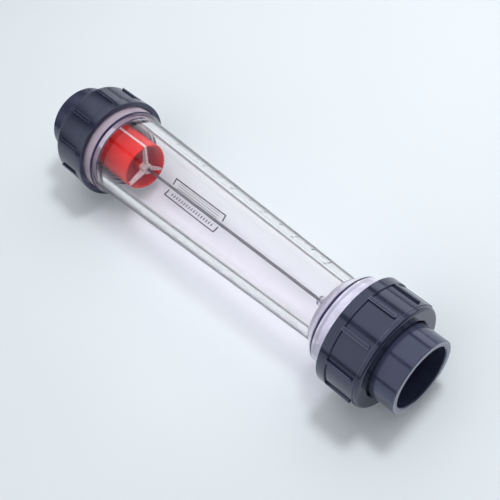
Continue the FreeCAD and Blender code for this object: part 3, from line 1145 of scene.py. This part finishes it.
@dataclass
class PrintedScale:
    """Lines and figures printed round the tube: millimetres, and degrees from +Y towards +Z."""

    tube: MeteringTube
    thickness: float = 0.04
    line: float = 1.7
    frame_angle: float = 285.3
    frame_half_height: float = 14.5
    frame_start: float = -114.0
    frame_length: float = 81.0
    frame_gap: float = 0.3
    frame_margin: float = 0.1
    rules: tuple[float, ...] = (0.25, 0.48, 0.71)
    rule_weight: float = 0.4
    note_bars: int = 17
    note_level: tuple[float, float] = (-0.66, -0.38)
    scale_angle: float = 7.5
    tick_pitch: float = 10.7
    tick_count: int = 21
    tick_weight: float = 0.8
    first_tick: float = -107.0
    short_tick: float = 5.0
    long_tick: float = 9.0
    full_scale: int = 100
    tick_value: int = 4
    figure_every: int = 4
    figure_height: float = 4.6
    facet: tuple[float, float] = (5.0, 1.0)

    def patch(
        self, ink: Film, start: tuple[float, float], stop: tuple[float, float], angle: float
    ) -> None:
        """Adds a rectangle of ink that follows the tube.

        Args:
            ink: Film that the patch is added to.
            start: Place along the axis and round the tube of one corner, in millimetres.
            stop: The opposite corner.
            angle: Angle of the print's middle line in degrees.
        """
        lengths = max(1, round(abs(stop[0] - start[0]) / self.facet[0]))
        rounds = max(1, round(abs(stop[1] - start[1]) / self.facet[1]))
        first = len(ink.points)
        for column in range(lengths + 1):
            along = start[0] + (stop[0] - start[0]) * column / lengths
            radius = self.tube.outside_radius(along)
            for row in range(rounds + 1):
                around = start[1] + (stop[1] - start[1]) * row / rounds
                turn = math.radians(angle) + around / radius
                ink.points.append(self.tube.on_tube(along, turn, radius + self.thickness))
        for column in range(lengths):
            for row in range(rounds):
                corner = first + column * (rounds + 1) + row
                beyond = corner + rounds + 1
                ink.faces.append((corner, beyond, beyond + 1, corner + 1))

    def label_frame(self, material: bpy.types.Material) -> bpy.types.Object:
        """Prints the rectangle with ruled lines for notes.

        Args:
            material: The ink.

        Returns:
            The printed frame.
        """
        ink = Film()
        start = self.frame_start
        stop = start + self.frame_length
        half = self.frame_half_height
        gap = half * self.frame_gap
        line = self.line
        corners = [((start, side), (stop, side + line)) for side in (-half, half - line)]
        for edge in (start, stop - line):
            corners.append(((edge, -half), (edge + line, -gap)))
            corners.append(((edge, gap), (edge + line, half)))
        margin = self.frame_length * self.frame_margin
        for share in self.rules:
            top = half * share + line * self.rule_weight
            corners.append(((start + margin, half * share), (stop - margin, top)))
        # Each bar is a third of its pitch wide, and the row ends with a bar.
        bar = (stop - start - 2 * margin) / (3 * self.note_bars - 2)
        low, high = (half * level for level in self.note_level)
        for index in range(self.note_bars):
            place = start + margin + 3 * bar * index
            corners.append(((place, low), (place + bar, high)))
        for first, last in corners:
            self.patch(ink, first, last, self.frame_angle)
        return self.printed("printed_note_frame", ink, material)

    def ticks(self, material: bpy.types.Material) -> bpy.types.Object:
        """Prints the graduations.

        Args:
            material: The ink.

        Returns:
            The printed ticks.
        """
        ink = Film()
        for index in range(self.tick_count):
            reach = self.long_tick if index % 2 == 0 else self.short_tick
            place = self.first_tick + self.tick_pitch * index
            corner = (place + self.line * self.tick_weight, reach)
            self.patch(ink, (place, 0.0), corner, self.scale_angle)
        return self.printed("printed_graduations", ink, material)

    def figures(self, material: bpy.types.Material) -> bpy.types.Object:
        """Prints plain numbers beside every fourth graduation.

        Args:
            material: The ink.

        Returns:
            The printed numbers.
        """
        ink = Film()
        for index in range(0, self.tick_count, self.figure_every):
            text = bpy.data.curves.new("figure", "FONT")
            text.body = str(self.full_scale - index * self.tick_value)
            text.size = self.figure_height
            text.align_x = "CENTER"
            text.align_y = "CENTER"
            text.resolution_u = 3
            holder = bpy.data.objects.new("figure", text)
            flat = bpy.data.meshes.new_from_object(holder)
            place = self.first_tick + self.tick_pitch * index
            first = len(ink.points)
            for vertex in flat.vertices:
                along = place + vertex.co.y
                radius = self.tube.outside_radius(along)
                around = self.long_tick + self.figure_height - vertex.co.x
                turn = math.radians(self.scale_angle) + around / radius
                ink.points.append(self.tube.on_tube(along, turn, radius + self.thickness))
            ink.faces.extend(
                tuple(first + corner for corner in polygon.vertices) for polygon in flat.polygons
            )
            bpy.data.objects.remove(holder)
            bpy.data.curves.remove(text)
            bpy.data.meshes.remove(flat)
        return self.printed("printed_figures", ink, material)

    def printed(self, name: str, ink: Film, material: bpy.types.Material) -> bpy.types.Object:
        """Makes a film of ink a piece that moves with the meter.

        Args:
            name: Name of the piece.
            ink: Its vertices and faces.
            material: The finish of the ink.

        Returns:
            The piece.
        """
        piece = finished_mesh(name, ink.points, ink.faces, material)
        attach(piece, Body.METER.value)
        report.info("printed %s", name)
        return piece


@dataclass
class Unions:
    """The union nuts, their tailpieces and the seals between tail and tube."""

    nuts: tuple[str, ...] = ("inlet_union_nut", "outlet_union_nut")
    tails: tuple[str, ...] = ("inlet_tailpiece", "outlet_tailpiece")
    seals: tuple[str, ...] = ("inlet_o_ring", "outlet_o_ring")

    chamfer: float = 0.2

    def build(self) -> None:
        """Dresses each piece in its own finish."""
        low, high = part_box(self.tails[0])
        faced = FacedPvc(face_at=high[0] - self.chamfer * MM, axis_height=(low[2] + high[2]) / 2)
        dress(self.nuts, MouldedPvc().build())
        dress(self.tails, faced.build())
        dress(self.seals, MouldedRubber().build())


@dataclass
class RodSet:
    """The guide rod with its supports, stops, washers and nuts."""

    steel: tuple[str, ...] = (
        "guide_rod", "inlet_rod_washer", "outlet_rod_washer", "inlet_rod_nut", "outlet_rod_nut",
    )
    supports: tuple[str, ...] = ("inlet_rod_support", "outlet_rod_support")
    stops: tuple[str, ...] = ("inlet_float_stop", "outlet_float_stop")

    def build(self) -> None:
        """Dresses each piece in its own finish."""
        # Thinner clear PVC-U with a deeper tint, so that the arms stand out from the tube.
        support = ClearPvc("moulded_tinted_clear_pvc_u", tint="#e4e3ef")
        # Silicone rubber, moulded: translucent and milky, with a soft shine.
        silicone = MouldedPlastic(
            "moulded_silicone_rubber", "#dcdce4", "#e8e8ee", cloud_mm=3.0, gloss=(0.05, 0.12),
            ior=1.41, clear=0.92,
        )
        dress(self.steel, DrawnSteel().build())
        dress(self.supports, support.build())
        dress(self.stops, silicone.build())


@dataclass
class Float:
    """The red float with its pale guide, bushes and hidden ballast."""

    shell: tuple[str, ...] = ("float_shell", "float_end_cap")
    guide: str = "float_guide"
    bushes: tuple[str, ...] = ("float_bush_rear", "float_bush_front")
    ballast: str = "float_ballast"

    def build(self) -> None:
        """Dresses each piece in its own finish."""
        # Red polypropylene, moulded: glossy, and light soaks through the cup's thin wall.
        red = MouldedPlastic(
            "moulded_red_polypropylene", "#b41004", "#c21a09", cloud_mm=9.0, gloss=(0.16, 0.26),
            ior=1.35, soak=0.85, soak_mm=9.0, shine=0.3,
        )
        # Unfilled polypropylene, moulded: pale and waxy, and the red behind it shows through.
        pale = MouldedPlastic(
            "moulded_natural_polypropylene", "#f2dde0", "#f9e9ea", cloud_mm=6.0, gloss=(0.2, 0.32),
            ior=1.49, clear=0.55,
        )
        # PTFE, turned: white and soft, so it has little shine.
        bush = MouldedPlastic(
            "turned_ptfe", "#e6e6e4", "#f0f0ee", cloud_mm=4.0, gloss=(0.4, 0.6), ior=1.35, soak=0.1
        )
        # Steel, turned: the same streaks as the rod's, out of sight in the float.
        ballast = DrawnSteel("turned_steel")
        dress(self.shell, red.build())
        dress([self.guide], pale.build())
        dress(self.bushes, bush.build())
        dress([self.ballast], ballast.build())


@dataclass(frozen=True)
class Panel:
    """A soft light panel that spans a range of angles about the meter's axis."""

    name: str
    low: float
    high: float
    radiance: float


@dataclass
class Studio:
    """Pale floor, three soft panels with gaps between them, a key lamp and the camera."""

    axis: Vector
    panels: tuple[Panel, ...] = (
        Panel("rear_panel", 3.0, 25.0, 1.3),
        Panel("top_panel", 34.0, 99.0, 1.0),
        Panel("front_panel", 107.5, 174.0, 0.8),
    )
    panel_distance: float = 1.3
    panel_length: float = 2.4
    panel_shift: float = -0.25
    floor_size: float = 6.0
    lens: float = 62.94
    sensor: float = 36.0
    camera_offset: tuple[float, float, float] = (0.446, -0.1933, 0.6968)
    camera_right: tuple[float, float, float] = (0.689, 0.6907, -0.2204)
    camera_back: tuple[float, float, float] = (0.497, -0.2293, 0.8374)
    fill: float = 0.08
    key_angle: float = 70.0
    key_lead: float = 0.15
    key_distance: float = 1.2
    key_size: float = 0.2
    key_power: float = 5.5

    def build(self) -> None:
        """Makes the floor, the lights, the world and the camera."""
        self.floor()
        for panel in self.panels:
            self.lamp(panel)
        self.key()
        self.world()
        self.camera()

    def floor(self) -> None:
        """Lays a wide pale floor at the height of the nuts' lowest line."""
        half = self.floor_size / 2
        corners = [Vector((x * half, y * half, 0.0)) for x, y in ((-1, -1), (1, -1), (1, 1), (-1, 1))]
        floor = finished_mesh("studio_floor", corners, [(0, 1, 2, 3)], PaintedFloor().build())
        report.info("laid the floor")

    def lamp(self, panel: Panel) -> None:
        """Hangs one panel so that it faces the axis.

        Args:
            panel: The span and brightness of the panel.
        """
        middle = math.radians((panel.low + panel.high) / 2)
        half = math.radians((panel.high - panel.low) / 2)
        towards = Vector((0.0, math.cos(middle), math.sin(middle)))
        light = bpy.data.lights.new(panel.name, "AREA")
        light.shape = "RECTANGLE"
        light.size = self.panel_length
        light.size_y = 2 * self.panel_distance * math.tan(half)
        # A panel of radiance L sends out L times pi watts from each square metre.
        light.energy = panel.radiance * math.pi * light.size * light.size_y
        lamp = bpy.data.objects.new(panel.name, light)
        along = Vector((1.0, 0.0, 0.0))
        turn = Matrix((along, towards.cross(along), towards)).transposed()
        place = self.axis + towards * self.panel_distance + along * self.panel_shift
        lamp.matrix_world = Matrix.Translation(place) @ turn.to_4x4()
        bpy.context.scene.collection.objects.link(lamp)
        report.info("hung %s", panel.name)

    def key(self) -> None:
        """Hangs the small lamp behind the meter that casts its shadow on the floor."""
        light = bpy.data.lights.new("key_lamp", "AREA")
        light.shape = "DISK"
        light.size = self.key_size
        light.energy = self.key_power
        lamp = bpy.data.objects.new("key_lamp", light)
        turn = math.radians(self.key_angle)
        towards = Vector((self.key_lead, math.cos(turn), math.sin(turn))).normalized()
        lamp.location = self.axis + towards * self.key_distance
        lamp.rotation_euler = towards.to_track_quat("Z", "Y").to_euler()
        lamp.visible_glossy = False
        bpy.context.scene.collection.objects.link(lamp)
        report.info("hung key_lamp")

    def world(self) -> None:
        """Gives the studio walls a pale look, and only a little light of their own."""
        world = bpy.data.worlds.new("studio_walls")
        bpy.context.scene.world = world
        world.use_nodes = True
        tree = world.node_tree
        tree.nodes.clear()
        strength = add_node(
            tree,
            "ShaderNodeMapRange",
            {"To Min": self.fill, "To Max": 1.0},
            {"Value": backdrop_rays(tree)},
        )
        wall = add_node(
            tree,
            "ShaderNodeBackground",
            {"Color": linear(BACKDROP)},
            {"Strength": strength.outputs["Result"]},
        )
        add_node(tree, "ShaderNodeOutputWorld", links={"Surface": wall.outputs[0]})

    def camera(self) -> None:
        """Places the camera above the inlet end, looking down at the middle of the meter."""
        lens = bpy.data.cameras.new("camera")
        lens.lens = self.lens
        lens.sensor_width = self.sensor
        view = bpy.data.objects.new("camera", lens)
        back = Vector(self.camera_back).normalized()
        right = Vector(self.camera_right).normalized()
        right = (right - back * right.dot(back)).normalized()
        turn = Matrix((right, back.cross(right), back)).transposed()
        view.matrix_world = Matrix.Translation(self.axis + Vector(self.camera_offset)) @ turn.to_4x4()
        bpy.context.scene.collection.objects.link(view)
        bpy.context.scene.camera = view


def main() -> None:
    """Builds the studio and every part of the meter, in order."""
    logging.basicConfig(level=logging.INFO, format="%(name)s: %(message)s")
    bpy.context.scene.view_settings.view_transform = "Standard"
    low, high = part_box("metering_tube")
    axis = (Vector(low) + Vector(high)) / 2
    Studio(axis).build()
    tube = MeteringTube(axis_height=axis.z / MM, half_length=(high[0] - low[0]) / 2 / MM)
    tube.build(WeldedClearPvc(bands=tube.bands()).build())
    ink = PrintedInk().build()
    scale = PrintedScale(tube)
    scale.label_frame(ink)
    scale.ticks(ink)
    scale.figures(ink)
    Unions().build()
    RodSet().build()
    Float().build()


if __name__ == "__main__":
    main()
